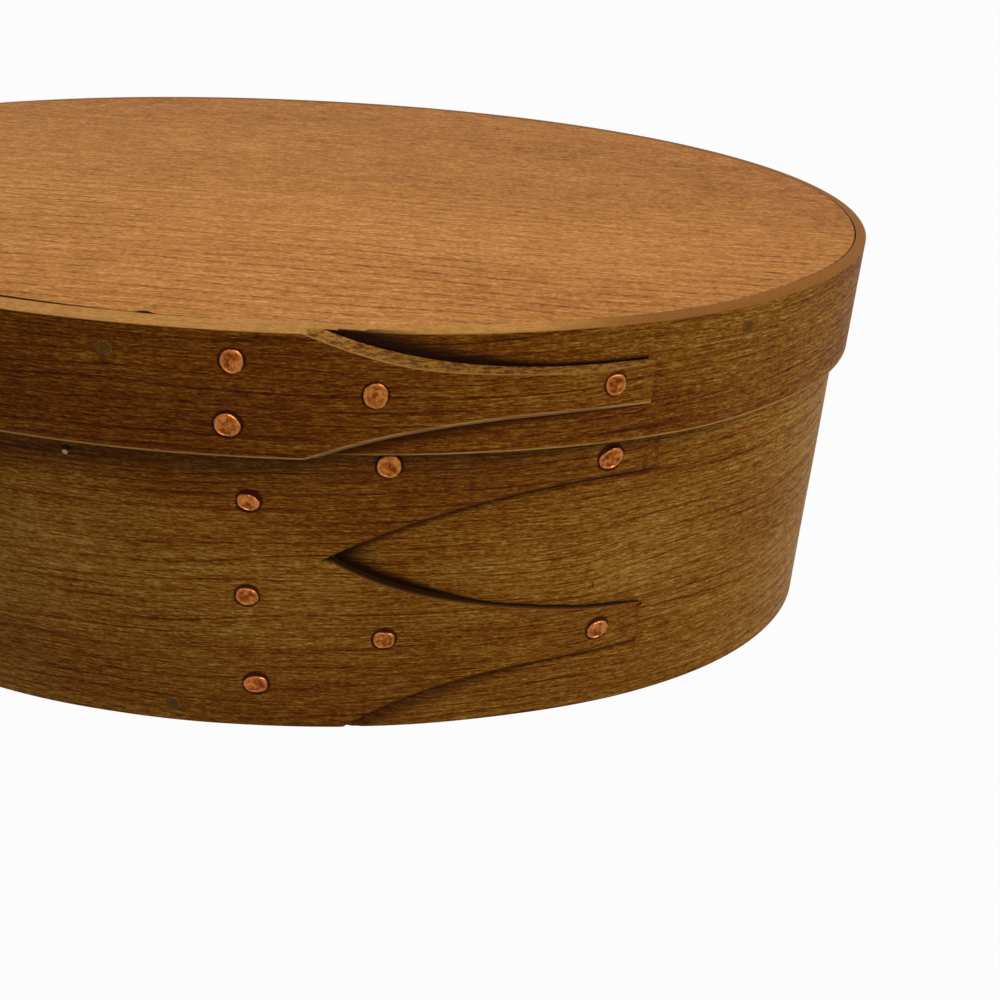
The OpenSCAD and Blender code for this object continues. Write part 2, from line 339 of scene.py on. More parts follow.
def stations(wall, roots):
    """A strip's path: from its feathered end once round the oval, and over itself to its tips."""
    path = []
    # The steps are closer where a finger's edges or its marks on the layer below change most
    for x in np.concatenate([np.arange(-wall.lap, 8.0, 1.5), np.arange(8.0, wall.tip, 0.8)]):
        a = front_angle(x)
        path.append(Station(x, a, wall.inner(a), wall.inner(a) + wall.end_t(x), 1))
    start, end = front_angle(wall.tip), front_angle(-wall.lap) + 2 * math.pi
    for a in np.linspace(start, end, 170)[:-1]:
        path.append(Station(None, a, wall.inner(a), wall.inner(a) + BAND_T, 1))
    stretches = [np.arange(-wall.lap, -6.0, 1.5), np.arange(-6.0, 6.0, 0.7), np.arange(6.0, 24, 0.4),
                 np.arange(24, wall.tip, 0.7), [wall.tip], roots]
    for x in np.unique(np.round(np.concatenate(stretches), 6)):
        path.append(Station(x, front_angle(x), wall.lap_inner(x), wall.lap_outer(x), 2))
    for before, after in zip(path, path[1:]):
        after.s = before.s + float(np.linalg.norm(after.inner_point() - before.inner_point()))
    return path


def rim_wear_and_shade(station):
    """How pale a rim is: most at the front's left, where it is worn, and least at its right, where its dark
    is painted shade of the rim rounded over there.
    """
    if station.layer == 2:
        return 1.0
    if station.x is None:
        return float(mix(DARKEST_RIM, 1.0, ramp(math.degrees(station.a), 60, 215)))
    return float(mix(1.0, DARKEST_RIM, ramp(station.x, 26, 62)))


class Seat:
    """Where a tack's head lies on a band, to measure from along the face."""

    # Heads are driven deeper toward their upper right, which widens the dip and its painted shade there: by
    # how much, and which way along and up
    DEEPER, RIGHT, UP = 0.09, 0.5, 0.85

    def __init__(self, node, radius):
        self.centre = middle(node)
        self.radius = radius
        self.normal = oval(angle_at(self.centre[0], self.centre[1]))[1]

    def gap(self, xy, z):
        """Distance from the head's edge, less on the side that is driven deeper, where the painted shade
        round the head is wider.
        """
        away = xy - self.centre[:2]
        out = away @ self.normal
        along = away @ np.array([-self.normal[1], self.normal[0]])
        up = z - self.centre[2]
        r = np.hypot(along, up)
        lean = (self.UP * up + self.RIGHT * along) / np.maximum(r, 0.1)
        # Points on the far side of the box are left out
        return np.where(np.abs(out) < 5, r - self.radius - self.DEEPER * np.maximum(0, lean), FAR)


def ring_at(station, loop, wall, seats, seed, marks_at):
    """The points of one ring of a band, and the marks that its shader reads there."""
    size = len(loop.z)
    depth = station.r_out + (station.r_in - station.r_out) * loop.t
    where = station.point + station.normal * depth[:, None]
    tack_gap = crease = under = np.full(size, FAR)
    bulge = 0.0
    if station.layer == 2:
        tack_gap = np.min([seat.gap(where, loop.z) for seat in seats], axis=0)
    elif station.point[1] < 0:
        crease, under, bulge = marks_at(float(station.point[0]), loop.z)
    uneven = BAND_ROUGH * wave(station.s, loop.z, seed)
    uneven -= TACK_DIP * np.exp(-(np.maximum(tack_gap, -0.3) / TACK_DIP_R) ** 2)
    uneven -= CREASE_DIP * np.exp(-np.maximum(crease, 0) ** 2)
    where = where + station.normal * ((uneven + bulge) * (1 - loop.t))[:, None]
    fingered = station.layer == 2 and station.x > CUT_X
    # The last ring is the end grain of the tips
    at_tip = wall.tip_mark if fingered and station.x > wall.tip - 0.1 else 0.0
    bevel = np.maximum(loop.bevel, at_tip) * fingered
    return {"where": np.column_stack([where, loop.z]),
            "grain": np.column_stack([np.full(size, station.s), loop.z, loop.t * BAND_T + seed]),
            "edge": np.column_stack([loop.from_low, loop.from_high, bevel]),
            "press": np.column_stack([crease, tack_gap, np.full(size, rim_wear_and_shade(station))]),
            "shade": under}


def closed(loop, following, j, n):
    """Whether the edge between points j and n still lies on the line where the fingers part."""
    return all(abs(z - GAP_Z) < 1e-6 for z in (loop.z[j], loop.z[n], following.z[j], following.z[n]))


def skin_faces(column, base):
    """Faces between each ring of a column and the next, and over both ends of the strip."""
    size = len(column[0].z)
    faces = []
    for i, (loop, following) in enumerate(zip(column, column[1:])):
        p = base + i * size
        for j in range(size):
            n = (j + 1) % size
            if j not in loop.seam or not closed(loop, following, j, n):
                faces.append((p + j, p + n, p + size + n, p + size + j))
    last = base + (len(column) - 1) * size
    return faces + [tuple(range(base + size - 1, base - 1, -1)), tuple(range(last, last + size))]


def band(name, wall, loops_at, rows, roots, seats, material, seed, marks_at):
    """A bent strip that laps over itself. Its rings join into one closed skin."""
    path = stations(wall, roots)
    rings, faces = [], []
    for column in zip(*[loops_at(station, rows) for station in path]):
        faces += skin_faces(column, sum(len(ring["shade"]) for ring in rings))
        rings += [ring_at(station, loop, wall, seats, seed, marks_at) for station, loop in zip(path, column)]
    verts, *marks = [np.concatenate([ring[key] for ring in rings]) for key in ("where", *BAND_MARKS)]
    return make_object(name, verts, faces, material, dict(zip(BAND_MARKS, marks)), sharp=46)


def tube_faces(rings, n):
    """Faces that join rings of n points, and fans that close both ends on the two last points."""
    faces = []
    for i in range(rings - 1):
        for j in range(n):
            k = (j + 1) % n
            faces.append((i * n + j, i * n + k, i * n + n + k, i * n + n + j))
    end = (rings - 1) * n
    for j in range(n):
        k = (j + 1) % n
        faces += [(j, rings * n, k), (end + j, end + k, rings * n + 1)]
    return faces


def board_rows(low, high):
    """A board's rings, from below to above: their share of its outline, inset and height."""
    quarter = np.linspace(0, math.pi / 2, 4)
    inner = (0.2, 0.4, 0.6, 0.75, 0.87, 0.95, 0.985)
    eased = [(BOARD_EASE * (1 - math.sin(u)), BOARD_EASE * (1 - math.cos(u))) for u in quarter]
    rows = [(f, 0.0, low) for f in inner]
    rows += [(1.0, inset, low + rise) for inset, rise in eased]
    rows += [(1.0, 0.0, z) for z in np.linspace(low + BOARD_EASE, high - BOARD_EASE, 5)[1:-1]]
    rows += [(1.0, inset, high - rise) for inset, rise in eased[::-1]]
    return rows + [(1.0, 2 * BOARD_EASE, high)] + [(f, 0.0, high) for f in inner[::-1]]


def board(name, wall, low, high, slack, material, seed, extra=()):
    """An oval board with eased edges, inside its band. extra are angles to add to its outline."""
    a = np.unique(np.concatenate([np.linspace(-math.pi, math.pi, 361)[:-1], extra]))
    n = len(a)
    point, normal = oval(a)
    edge = point + normal * (wall.inner(a) - slack(a))[:, None]
    # An open joint is painted dark, as its shade and the dirt in it: from 0.08 mm wide, and quite dark 0.3
    # mm wider
    open_joint = np.clip((slack(a) - 0.08) / 0.3, 0, 1)
    rows = board_rows(low, high)
    verts, joint = [], []
    for f, inset, z in rows:
        xy = edge * f - normal * inset
        lift = BOARD_ROUGH * wave(xy[:, 0], xy[:, 1], seed) * (z == high) * (f < 0.97)
        verts.append(np.column_stack([xy, np.full(n, z) + lift]))
        joint.append(open_joint * (f == 1.0 and inset <= BOARD_EASE))
    verts.append([[0, 0, low], [0, 0, high]])
    joint.append(np.zeros(2))
    marks = {"joint": np.concatenate(joint)}
    return make_object(name, np.vstack(verts), tube_faces(len(rows), n), material, marks)


def on_wall(a, r, z):
    """Frame on the wall, in millimetres: local z points outwards, local y up."""
    point, normal = oval(a)
    p = point + normal * r
    out = Vector((normal[0], normal[1], 0))
    up = Vector((0, 0, 1))
    side = up.cross(out)
    m = Matrix((side, up, out)).transposed().to_4x4()
    m.translation = Vector((p[0], p[1], z))
    return np.array(m)


def placed(verts, m):
    return np.asarray(verts) @ m[:3, :3].T + m[:3, 3]


def turned_by(xy, angle):
    c, s = math.cos(angle), math.sin(angle)
    return xy @ np.array([[c, s], [-s, c]])


def revolve(profile, n, outline=lambda t: 1.0):
    """A closed shape from rings of (radius, height). outline scales the radius round the axis."""
    t = np.linspace(0, 2 * math.pi, n, endpoint=False)
    verts = [np.column_stack([r * outline(t) * np.cos(t), r * outline(t) * np.sin(t), np.full(n, h)])
             for r, h in profile]
    verts.append([[0, 0, profile[0][1]], [0, 0, profile[-1][1]]])
    return np.vstack(verts), tube_faces(len(profile), n)


def uneven_outline(waves, phases, corner=0.0):
    """An outline made uneven by waves, given as (number, height), and a little square by corner."""
    def outline(t):
        square = 1 + corner * np.cos(4 * (t - math.pi / 4))
        return square + sum(height * np.cos(k * t + p) for (k, height), p in zip(waves, phases))

    return outline


def tack_head(radius, squash, turn, corner, rise, rng):
    """A head flattened by a few uneven blows: its points and faces, and how near its rim each is."""
    # The first draw isn't used, and stays so that the later ones keep their values
    phases = rng.uniform(0, 2 * math.pi, 4)[1:]
    top = HEAD_SINK + rise
    profile = [(0.93, 0.0), (1.0, 0.12), (1.0, HEAD_SINK + 0.15 * rise), (0.985, HEAD_SINK + 0.5 * rise),
               (0.95, top - 0.1), (0.9, top - 0.03)]
    profile += [(f, top) for f in (0.8, 0.66, 0.52, 0.38, 0.24, 0.1)]
    outline = uneven_outline(((3, 0.018), (5, 0.012), (9, 0.008)), phases, corner)
    verts, faces = revolve([(f * radius, h) for f, h in profile], 56, outline)
    rim = np.clip((np.hypot(verts[:, 0], verts[:, 1]) / radius - 0.66) / 0.2, 0, 1)
    flat = verts[:, 2] > top - 0.02
    blows = [(rng.uniform(-0.12, 0.12), rng.uniform(-0.12, 0.12), rng.uniform(-0.02, 0.04))
             for _ in range(5)]
    dented = np.min([gx * verts[:, 0] + gy * verts[:, 1] + c for gx, gy, c in blows], axis=0)
    verts[flat, 2] += np.clip(dented[flat], -0.2, 0.03)
    verts[:, 1] *= squash
    verts[:, :2] = turned_by(verts[:, :2], turn)
    return verts, faces, rim


def bent_outline(t):
    """The outline of a tack's point, bent over and hammered flat."""
    return 1 - 0.28 * np.abs(np.sin(t)) ** 1.5


def tack(name, wall, node, body, head, rise, material, seed):
    """A hammered tack: faceted uneven head, shank, and the point bent over on the inside."""
    centre = middle(node)
    a = angle_at(centre[0], centre[1])
    seat = float(wall.lap_outer(float(oval(a)[0][0]))) - HEAD_SINK
    inside = float(wall.inner(a)) - seat
    rng = np.random.default_rng(seed)
    verts, faces, rim = tack_head(*head, rise, rng)
    shank = [(SHANK_R * 0.9, inside - 0.02), (SHANK_R, inside + 0.2), (SHANK_R, 0.05)]
    point = [(CLINCH_R * f, inside + h) for f, h in
             ((0.5, 0.35), (0.85, 0.22), (1.0, 0.05), (0.92, -0.07), (0.7, -0.15), (0.35, -0.2))]
    for more, more_faces in (revolve(shank, 20), revolve(point, 28, bent_outline)):
        more[:, :2] = turned_by(more[:, :2], rng.uniform(-0.5, 0.5))
        faces += [tuple(i + len(verts) for i in f) for f in more_faces]
        verts = np.vstack([verts, more])
    marks = {"rim": np.concatenate([rim, np.zeros(len(verts) - len(rim))])}
    obj = make_object(name, placed(verts, on_wall(a, seat, centre[2])), faces, material, marks, sharp=24)
    settle(obj, node, body)


def peg(name, wall, node, body, material, seed):
    """A whittled peg driven flush."""
    centre = middle(node)
    a = angle_at(centre[0], centre[1])
    phases = np.random.default_rng(seed).uniform(0, 2 * math.pi, 3)
    skin = float(wall.skin(a))
    deep = float(wall.inner(a)) - skin - PEG_DEPTH
    profile = [(0.3, deep + 0.05), (0.75, deep + 0.6), (0.93, deep + 2.5), (1.0, -0.6), (1.0, 0.02),
               (0.94, 0.07), (0.8, 0.06), (0.6, 0.045), (0.3, 0.04)]
    outline = uneven_outline(((2, 0.05), (3, 0.03), (7, 0.03)), phases)
    verts, faces = revolve([(f * PEG_R, h) for f, h in profile], 32, outline)
    # Each peg reads its own part of the grain
    marks = {"grain": verts + np.array([3.0 * seed, 0, 0]),
             "rim": np.clip((np.hypot(verts[:, 0], verts[:, 1]) / PEG_R - 0.6) / 0.35, 0, 1)}
    obj = make_object(name, placed(verts, on_wall(a, skin, centre[2])), faces, material, marks, sharp=40)
    settle(obj, node, body)


# Materials ----------------------------------------------------------------


def srgb(*levels):
    """A colour given as it looks on a screen, each part from 0 to 255."""
    linear = [((v / 255 + 0.055) / 1.055) ** 2.4 if v > 10 else v / 255 / 12.92 for v in levels]
    return (*linear, 1.0)


class Shader:
    """A node material in the making. Its methods return output sockets."""

    def __init__(self, name, fixed):
        self.mat = bpy.data.materials.new(name)
        self.mat.use_nodes = True
        self.tree = self.mat.node_tree
        self.bsdf = self.tree.nodes["Principled BSDF"]
        for key, value in fixed.items():
            self.bsdf.inputs[key].default_value = value

    def plug(self, value, socket):
        if isinstance(value, bpy.types.NodeSocket):
            self.tree.links.new(value, socket)
        else:
            socket.default_value = value

    def add(self, kind, sockets, **props):
        node = self.tree.nodes.new(kind)
        for key, value in props.items():
            setattr(node, key, value)
        for key, value in sockets.items():
            self.plug(value, node.inputs[key])
        return node

    def attribute(self, name, output="Vector"):
        return self.add("ShaderNodeAttribute", {}, attribute_name=name).outputs[output]

    def position(self):
        """Place on the object in millimetres, which moves with it."""
        place = self.add("ShaderNodeTexCoord", {}).outputs["Object"]
        return self.scaled(place, 1 / MM, 1 / MM, 1 / MM)

    def math(self, operation, a, b=0.0, c=0.0):
        return self.add("ShaderNodeMath", {0: a, 1: b, 2: c}, operation=operation).outputs[0]

    def vector_math(self, operation, *vectors, output="Vector"):
        node = self.add("ShaderNodeVectorMath", dict(enumerate(vectors)), operation=operation)
        return node.outputs[output]

    def times(self, a, b):
        return self.math("MULTIPLY", a, b)

    def scaled(self, vector, x, y, z):
        return self.vector_math("MULTIPLY", vector, (x, y, z))

    def split(self, vector):
        return self.add("ShaderNodeSeparateXYZ", {0: vector}).outputs

    def join(self, x, y, z):
        return self.add("ShaderNodeCombineXYZ", {0: x, 1: y, 2: z}).outputs[0]

    def noise(self, vector, detail=2.0, rough=0.5):
        sockets = {"Vector": vector, "Scale": 1.0, "Detail": detail, "Roughness": rough}
        return self.add("ShaderNodeTexNoise", sockets).outputs[0]

    def remap(self, value, a, b, c=0.0, d=1.0, kind="SMOOTHSTEP"):
        """c where value is a or short of it, d where it is b or past it, and a ramp between."""
        sockets = {0: value, 1: a, 2: b, 3: c, 4: d}
        return self.add("ShaderNodeMapRange", sockets, interpolation_type=kind).outputs[0]

    def total(self, start, *terms):
        """start plus each term's weight times its socket's distance from 0.5."""
        for weight, socket in terms:
            start = self.math("MULTIPLY_ADD", self.math("SUBTRACT", socket, 0.5), weight, start)
        return start

    def colours(self, fac, stops):
        node = self.add("ShaderNodeValToRGB", {0: fac})
        steps = node.color_ramp
        steps.elements[0].position, steps.elements[0].color = stops[0]
        steps.elements[1].position, steps.elements[1].color = stops[-1]
        for at, colour in stops[1:-1]:
            steps.elements.new(at).color = colour
        return node.outputs[0]

    def blend(self, fac, a, b):
        """Colour a where fac is 0, and colour b where it is 1."""
        node = self.add("ShaderNodeMix", {}, data_type="RGBA")
        for key, value in ((0, fac), (6, a), (7, b)):
            self.plug(value, node.inputs[key])
        return node.outputs[2]

    def feed(self, key, socket):
        self.tree.links.new(socket, self.bsdf.inputs[key])

    def spot(self, centre, radii):
        """1 inside a small ellipsoid on the object, in millimetres."""
        away = self.scaled(self.vector_math("SUBTRACT", self.position(), centre), *[1 / r for r in radii])
        return self.remap(self.vector_math("LENGTH", away, output="Value"), 1.0, 0.6)

    def bump(self, height, distance, strength):
        node = self.add("ShaderNodeBump", {"Height": height, "Distance": distance, "Strength": strength})
        self.feed("Normal", node.outputs[0])


WOOD = {"Specular IOR Level": 0.05}
# Colours from the darkest to the palest grain
BAND_STOPS = [(0.0, srgb(50, 20, 2)), (0.3, srgb(92, 44, 4)), (0.5, srgb(118, 67, 9)),
              (0.7, srgb(142, 98, 29)), (1.0, srgb(182, 142, 76))]
BOARD_STOPS = [(0.0, srgb(92, 46, 12)), (0.3, srgb(146, 89, 34)), (0.55, srgb(176, 116, 52)),
               (0.8, srgb(200, 137, 72)), (1.0, srgb(222, 164, 102))]
COPPER_STOPS = [(0.36, srgb(104, 46, 12)), (0.5, srgb(144, 76, 26)), (0.64, srgb(182, 112, 50))]
PEG_STOPS = [(0.3, srgb(74, 46, 12)), (0.7, srgb(112, 76, 28))]
FLOOR_STOPS = [(0.3, (0.48, 0.47, 0.46, 1)), (0.7, (0.52, 0.51, 0.50, 1))]
# Width of the boards' growth rings
GROWTH = 2.7
DARK, DARK_RED, MAROON = srgb(24, 7, 3), srgb(56, 19, 6), srgb(52, 10, 7)
RIM_DIRT = srgb(112, 68, 26)
# Once round a strip, and where on it the front's painted shade is darkest
STRIP_LENGTH, DARKEST = 468.0, 67.0
# Painted shade below the lid's edge, from this far down, and at the front's left up to here
LID_SHADE_DEEP, LID_SHADE_X = 9.0, 62.0


class BandWood(Shader):
    """Quarter-sawn wood, laid along a strip by the marks that band() gives its points: s runs along
    the strip, z across it and deep into it, in millimetres."""

    def __init__(self, name):
        super().__init__(name, WOOD)
        self.grain = self.attribute("grain")
        self.s, self.z, self.deep = self.split(self.grain)
        drift = self.times(self.noise(self.scaled(self.grain, 0.011, 0.03, 0.2), 2), 9.0)
        self.level = self.math("ADD", self.math("MULTIPLY_ADD", self.s, -0.02, self.z), drift)
        self.fine = self.noise(self.scaled(self.grain, 0.4, 3.4, 1.5), 3, 0.65)
        self.grit = self.noise(self.scaled(self.grain, 1.3, 5.5, 3.0), 2, 0.6)
        self.streak = self.noise(self.drifting(0.05, 1.7), 3, 0.65)

    def drifting(self, along, across):
        """A place in the grain, whose level drifts slowly across the strip, at two scales."""
        return self.join(self.times(self.s, along), self.times(self.level, across), self.deep)

    def figure(self, tone_shift):
        """The wood's colour, with growth lines that the streaks break up, darkened along the front
        and back by painted shade."""
        tone = self.noise(self.scaled(self.grain, 0.02, 0.06, 0.1), 3, 0.55)
        sway = self.noise(self.drifting(0.008, 0.14), 2)
        ring = self.math("FRACT", self.math("MULTIPLY_ADD", sway, 4.0, self.times(self.level, 0.5)))
        line = self.times(self.remap(ring, 0.72, 0.95), self.remap(ring, 1.0, 0.96))
        line = self.times(line, self.remap(self.streak, 0.38, 0.6, 1.0, 0.1))
        turn = self.times(self.math("SUBTRACT", self.s, DARKEST), 4 * math.pi / STRIP_LENGTH)
        value = self.total(0.5 + tone_shift, (1.35, self.fine), (1.0, self.grit), (0.6, self.streak),
                           (0.6, tone))
        # Painted shade: darker along the front and back of the strip
        value = self.math("MULTIPLY_ADD", self.math("COSINE", turn), -0.1, value)
        value = self.math("MULTIPLY_ADD", line, -0.27, value)
        return self.colours(value, BAND_STOPS)

    def edges(self, colour, rims, bevels, foot_share, foot_colour):
        """Over colour: the rim, paler where worn and darker as painted shade; the fingers' cut edges
        and chips, in painted shade and dirt on the box and partly a painted highlight on the lid; and the
        foot.
        """
        from_low, from_high, bevel = self.split(self.attribute("edge"))
        crease, tack_gap, paleness = self.split(self.attribute("press"))
        rough = self.remap(self.math("ADD", self.fine, self.grit), 0.86, 1.14)
        # The rim: paler where it is worn, darker where it is painted in shade
        rim = self.blend(self.remap(self.total(paleness, (0.6, self.grit)), 0.2, 0.9), *rims)
        rim = self.blend(self.times(rough, 0.35), rim, RIM_DIRT)
        colour = self.blend(self.remap(from_high, 0.12, -0.1), colour, rim)
        chips = self.noise(self.scaled(self.grain, 0.9, 1.6, 1.6), 3, 0.75)
        chipped = self.remap(self.total(0.5, (1.2, self.fine), (1.6, chips)), 0.25, 0.75)
        # The cut edges: painted shade and dirt on the box, partly a painted highlight on the lid
        colour = self.blend(self.times(bevel, 0.95), colour, self.blend(chipped, *bevels))
        foot = self.remap(self.streak, 0.36, 0.56, 0.5 * foot_share, foot_share)
        return self.blend(self.times(self.remap(from_low, 0.34, 0.12), foot), colour, foot_colour)

    def presses(self, colour, crease_span):
        """Over colour: painted shade below the fingers, painted shade and dirt in the open joints, and
        painted shade and stain in the dips round the tacks.
        """
        crease, tack_gap, paleness = self.split(self.attribute("press"))
        under = self.attribute("shade", "Fac")
        # Painted shade below the fingers
        colour = self.blend(self.remap(under, 0.0, 1.0, 0.78, 0.0), colour, DARK_RED)
        # Painted shade and dirt in the open joints beside the fingers
        colour = self.blend(self.remap(crease, *crease_span, 0.96, 0.0), colour, DARK)
        # A ring of painted shade, partly stain, round each tack's head
        ring_shade_and_stain = self.remap(self.total(tack_gap, (0.4, self.grit)), 0.1, 0.5, 0.92, 0.0)
        return self.blend(ring_shade_and_stain, colour, MAROON)

    def lid_shade(self, colour):
        """Over colour: painted shade below the lid's edge at the front."""
        x, y, z = self.split(self.position())
        below = self.times(self.remap(self.z, LID_LOW - LID_SHADE_DEEP, LID_LOW - 1.5),
                           self.remap(self.z, LID_LOW + 1.0, LID_LOW))
        below = self.times(below, self.remap(x, LID_SHADE_X, 30.0, 0.0, 0.6))
        return self.blend(self.times(below, self.remap(self.streak, 0.36, 0.56, 1.0, 0.6)), colour, DARK_RED)


def band_wood(name, tone_shift, crease_span, shaded_below_lid=False, spots=(), **edges):
    sh = BandWood(name)
    colour = sh.edges(sh.figure(tone_shift), **edges)
    colour = sh.presses(colour, crease_span)
    # Painted shade below the lid's edge, on the box's band
    if shaded_below_lid:
        colour = sh.lid_shade(colour)
    for centre, radii, spot_colour in spots:
        colour = sh.blend(sh.spot(centre, radii), colour, spot_colour)
    sh.feed("Base Color", colour)
    sh.feed("Roughness", sh.remap(sh.fine, 0.3, 0.7, 0.62, 0.5, "LINEAR"))
    sh.bump(sh.total(0.0, (1.0, sh.fine), (0.5, sh.grit)), 0.0001, 0.6)
    return sh.mat


def board_wood():
    """Flat-sawn wood with its growth lines nearly along x, closer and clearer in the front half."""
    sh = Shader("board_wood", WOOD)
    turned = sh.add("ShaderNodeVectorRotate", {"Vector": sh.position(), "Angle": math.radians(3.0)},
                    rotation_type="Z_AXIS").outputs[0]
    x, y, z = sh.split(turned)
    front = sh.remap(y, 14.0, -16.0)
    sway = sh.noise(sh.scaled(turned, 0.008, 0.02, 0.02), 2, 0.5)
    ripple = sh.noise(sh.scaled(turned, 0.05, 0.06, 0.05), 2, 0.5)
    across = sh.math("MULTIPLY_ADD", z, 0.6, y)
    across = sh.math("MULTIPLY_ADD", sway, 14.0, across)
    across = sh.math("MULTIPLY_ADD", ripple, sh.remap(y, 10.0, -14.0, 7.0, 1.6), across)
    ring = sh.math("FRACT", sh.times(across, 1 / GROWTH))
    late = sh.times(sh.remap(ring, 0.6, 0.94), sh.remap(ring, 1.0, 0.96))
    here = sh.remap(sh.noise(sh.scaled(turned, 0.02, 0.035, 0.02), 2), 0.3, 0.52, 0.3, 1.0)
    dash = sh.remap(sh.noise(sh.scaled(turned, 0.45, 2.6, 2.0), 2, 0.6), 0.42, 0.6)
    fine = sh.noise(sh.scaled(turned, 0.28, 2.8, 2.0), 4, 0.65)
    grit = sh.noise(sh.scaled(turned, 1.3, 2.4, 2.0), 2, 0.6)
    tone = sh.noise(sh.scaled(turned, 0.02, 0.05, 0.05), 3, 0.55)
    mottle = sh.noise(sh.scaled(turned, 0.16, 0.26, 0.2), 2, 0.55)
    # Paler toward the front and darker toward the right: painted light and shade across the top
    value = sh.total(0.57, (1.1, fine), (1.1, grit), (0.4, tone), (0.22, mottle), (0.14, front))
    value = sh.math("MULTIPLY_ADD", x, -0.0008, value)
    clear = sh.math("MULTIPLY_ADD", front, 0.8, 0.2)
    rows = sh.times(sh.times(late, here), sh.times(clear, sh.math("MULTIPLY_ADD", dash, 0.75, 0.25)))
    value = sh.math("MULTIPLY_ADD", rows, -0.38, value)
    # The open joint round a board: painted shade and dirt
    colour = sh.blend(sh.times(sh.attribute("joint", "Fac"), 0.95), sh.colours(value, BOARD_STOPS), DARK_RED)
    sh.feed("Base Color", colour)
    sh.feed("Roughness", sh.remap(fine, 0.3, 0.7, 0.6, 0.48, "LINEAR"))
    sh.bump(sh.total(0.0, (0.8, fine), (0.4, grit)), 0.0001, 0.5)
    return sh.mat


def copper():
    sh = Shader("hammered_copper", {"Metallic": 1.0})
    place = sh.position()
    cloud = sh.noise(sh.scaled(place, 0.9, 0.9, 0.9), 3, 0.65)
    spots = sh.noise(sh.scaled(place, 2.2, 2.2, 2.2), 2, 0.6)
    colour = sh.colours(cloud, COPPER_STOPS)
    colour = sh.blend(sh.times(sh.remap(spots, 0.56, 0.68), 0.7), colour, srgb(78, 34, 12))
    # A paler rim: painted highlight where the head's rounded edge catches the light
    rim = sh.times(sh.attribute("rim", "Fac"), sh.remap(spots, 0.3, 0.6, 0.85, 0.45))
    colour = sh.blend(rim, colour, srgb(190, 122, 66))
    sh.feed("Base Color", colour)
    sh.feed("Roughness", sh.remap(cloud, 0.3, 0.7, 0.46, 0.32, "LINEAR"))
    sh.bump(sh.noise(sh.scaled(place, 2.0, 2.0, 2.0), 2, 0.5), 0.0002, 0.6)
    return sh.mat


def peg_wood():
    sh = Shader("peg_wood", WOOD)
    fine = sh.noise(sh.scaled(sh.attribute("grain"), 3.5, 3.5, 0.4), 3, 0.6)
    colour = sh.colours(fine, PEG_STOPS)
    rim = sh.times(sh.attribute("rim", "Fac"), sh.remap(fine, 0.42, 0.6))
    colour = sh.blend(sh.times(rim, 0.8), colour, srgb(134, 104, 62))
    sh.feed("Base Color", colour)
    sh.feed("Roughness", sh.remap(fine, 0.3, 0.7, 0.65, 0.52, "LINEAR"))
    sh.bump(fine, 0.0001, 0.6)
    return sh.mat


# The camera and the light ---------------------------------------------------

# Found by fitting a camera to the photo's outline. Angles in radians, AIM and DISTANCE in metres
SENSOR = 36.0
FOCAL = 1.3871033 * SENSOR
AIM = Vector((0.035364, 0.0, 0.0090141))
AZIMUTH, ELEVATION, ROLL, DISTANCE = -0.0088, 0.5113, 0.0604, 0.2558193
# The world's strength, how bright it is seen, and how much of the floor is seen as plain white
WORLD, WORLD_SEEN, FLOOR_SEEN = 0.13, 0.974, 0.96
FLOOR_HALF, FLOOR_Z = 4000.0, -0.05
# Each lamp's place, aim and two sizes in metres, its power in watts and its colour
LAMPS = {"above": ((0.25, 0.30, 0.80), (0.02, 0, 0.03), (0.6, 0.6), 3.3, (1.0, 0.97, 0.92)),
         "front": ((0.55, -0.55, 0.72), (0.03, 0, 0.03), (0.45, 0.35), 6.3, (1.0, 0.96, 0.90))}


def make_camera():
    data = bpy.data.cameras.new("camera")
    data.sensor_width, data.lens = SENSOR, FOCAL
    data.clip_start, data.clip_end = 0.01, 20.0
    cam = bpy.data.objects.new("camera", data)
    bpy.context.scene.collection.objects.link(cam)
    back = Vector((math.sin(AZIMUTH) * math.cos(ELEVATION), -math.cos(AZIMUTH) * math.cos(ELEVATION),
                   math.sin(ELEVATION)))
    right = (-back).cross(Vector((0, 0, 1))).normalized()
    up = right.cross(-back)
    turned = (math.cos(ROLL) * right + math.sin(ROLL) * up, -math.sin(ROLL) * right + math.cos(ROLL) * up)
    cam.matrix_world = Matrix((turned[0], turned[1], back)).transposed().to_4x4()
    cam.location = AIM + back * DISTANCE
    bpy.context.scene.camera = cam


def area_light(name, place, aim, size, power, colour):
    data = bpy.data.lights.new(name, "AREA")
    data.shape, data.size, data.size_y = "RECTANGLE", size[0], size[1]
    data.energy, data.color = power, colour
    lamp = bpy.data.objects.new(name, data)
    bpy.context.scene.collection.objects.link(lamp)
    lamp.location = place
    lamp.rotation_euler = (Vector(aim) - Vector(place)).to_track_quat("-Z", "Y").to_euler()


def seen_directly(tree):
    """1 for camera, glossy and transmission rays."""
    path = tree.nodes.new("ShaderNodeLightPath")
    total = path.outputs["Is Camera Ray"]
    for name in ("Is Glossy Ray", "Is Transmission Ray"):
        add = tree.nodes.new("ShaderNodeMath")
        add.operation, add.use_clamp = "ADD", True
        tree.links.new(total, add.inputs[0])
        tree.links.new(path.outputs[name], add.inputs[1])
        total = add.outputs[0]
    return total


